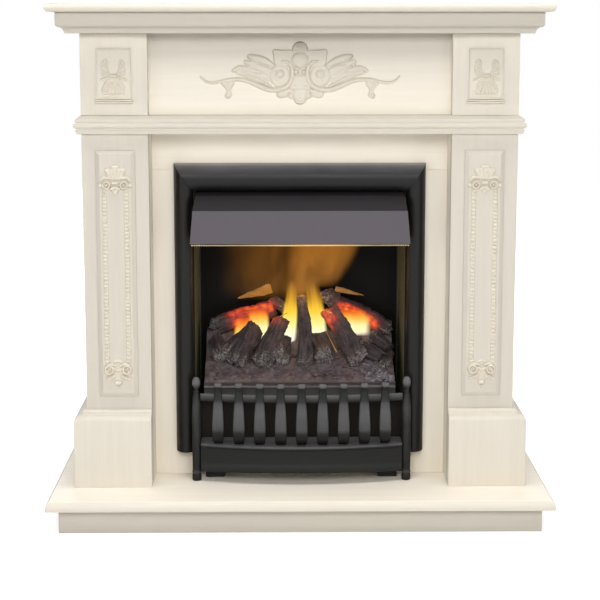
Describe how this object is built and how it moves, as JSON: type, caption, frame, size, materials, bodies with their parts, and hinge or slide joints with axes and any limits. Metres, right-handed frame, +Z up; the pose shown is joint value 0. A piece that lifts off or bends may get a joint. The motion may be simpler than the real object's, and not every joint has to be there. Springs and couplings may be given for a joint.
{
  "type": "electric fireplace suite",
  "caption": "Freestanding electric fireplace suite: painted wooden mantel with applied carving on a hearth, and an inset mist-effect fire with trim, hood, cast fret and log bed.",
  "frame": {"origin": "on the floor, at the middle of the suite's width and depth", "axes": "+Z up, -Y out of the front towards the room, +X to the right seen from the front; the wall is at +Y"},
  "size_m": [0.978, 0.4, 1.01],
  "materials": {
    "painted_wood": "cream satin lacquer with a faint wood grain under it",
    "carving": "cream satin lacquer on moulded and carved ornament, warmer in the recesses",
    "case_steel": "matt black stove paint",
    "trim_paint": "satin black paint",
    "hood_paint": "satin grey-black paint",
    "brass_edge": "polished brass",
    "fret_iron": "matt black casting with light edges",
    "ember": "moulded resin coal and ash, painted and lit from below",
    "charred_log": "moulded resin logs painted as charred split wood",
    "tank_plastic": "translucent smoked plastic",
    "black_plastic": "fine textured black moulding",
    "galvanised_steel": "zinc-plated sheet",
    "element_ceramic": "pale ceramic and mica with bright fins",
    "board_laminate": "green laminate with soldered parts",
    "lamp_lens": "clear amber lenses"
  },
  "bodies": {
    "suite": {"hearth_slab": "painted_wood", "base_frame": "painted_wood", "plinth_block_left": "painted_wood", "plinth_block_right": "painted_wood", "pilaster_left": "painted_wood", "pilaster_right": "painted_wood", "pilaster_panel_left": "painted_wood", "pilaster_panel_right": "painted_wood", "pilaster_ornament_left": "carving", "pilaster_ornament_right": "carving", "inner_return_left": "painted_wood", "inner_return_right": "painted_wood", "side_panel_left": "painted_wood", "side_panel_right": "painted_wood", "frieze_board": "painted_wood", "frieze_block_left": "painted_wood", "frieze_block_right": "painted_wood", "rosette_plaque_left": "carving", "rosette_plaque_right": "carving", "frieze_ornament": "carving", "astragal_moulding": "painted_wood", "cornice_moulding": "painted_wood", "mantel_shelf": "painted_wood", "header_panel": "painted_wood", "facing_stile_left": "painted_wood", "facing_stile_right": "painted_wood", "facing_sill": "painted_wood", "insert_case": "case_steel", "trim_left": "trim_paint", "trim_right": "trim_paint", "trim_top": "trim_paint", "hood": "hood_paint", "hood_edge_strip": "brass_edge", "mist_sump": "black_plastic", "mist_transducer": "galvanised_steel", "mist_duct": "black_plastic", "lamp_strip": "lamp_lens", "circuit_board": "board_laminate", "heater_box": "galvanised_steel", "heating_element": "element_ceramic", "blower_motor": "case_steel", "control_panel": "case_steel", "cable_gland": "black_plastic"},
    "fret": {"fret_casting": "fret_iron", "fret_post_left": "fret_iron", "fret_post_right": "fret_iron"},
    "fuel_bed": {"ember_bed": "ember", "log_back_left": "charred_log", "log_back_right": "charred_log", "log_left": "charred_log", "log_middle_left": "charred_log", "log_centre": "charred_log", "log_right": "charred_log"},
    "tank": {"water_tank": "tank_plastic"},
    "cap": {"tank_cap": "black_plastic"},
    "blower": {"blower_wheel": "galvanised_steel"},
    "fan": {"mist_fan": "black_plastic"},
    "power_switch": {"power_rocker": "black_plastic"},
    "heat_switch": {"heat_rocker": "black_plastic"},
    "knob": {"flame_knob": "black_plastic"}
  },
  "joints": [
    {"name": "fret_slide", "type": "slide", "parent": "suite", "child": "fret", "axis": [0, -1, 0], "range_m": [0, 0.09]},
    {"name": "fuel_bed_lift", "type": "slide", "parent": "suite", "child": "fuel_bed", "axis": [0, 0, 1], "range_m": [0, 0.075]},
    {"name": "tank_lift", "type": "slide", "parent": "suite", "child": "tank", "axis": [0, 0, 1], "range_m": [0, 0.02]},
    {"name": "cap_turn", "type": "hinge", "parent": "tank", "child": "cap", "pos_m": [-0.114, 0.0917, 0.1003], "axis": [0, 0, 1], "range_deg": [0, 450]},
    {"name": "blower_spin", "type": "hinge", "parent": "suite", "child": "blower", "pos_m": [0, 0.0847, 0.6287], "axis": [1, 0, 0], "continuous": true},
    {"name": "mist_fan_spin", "type": "hinge", "parent": "suite", "child": "fan", "pos_m": [0.1, 0.0917, 0.1], "axis": [0, 0, 1], "continuous": true},
    {"name": "power_rock", "type": "hinge", "parent": "suite", "child": "power_switch", "pos_m": [0.1332, -0.0253, 0.593], "axis": [1, 0, 0], "range_deg": [-8, 8]},
    {"name": "heat_rock", "type": "hinge", "parent": "suite", "child": "heat_switch", "pos_m": [0.1572, -0.0253, 0.593], "axis": [1, 0, 0], "range_deg": [-8, 8]},
    {"name": "flame_turn", "type": "hinge", "parent": "suite", "child": "knob", "pos_m": [0.1832, -0.0289, 0.593], "axis": [0, -1, 0], "range_deg": [0, 270]}
  ]
}
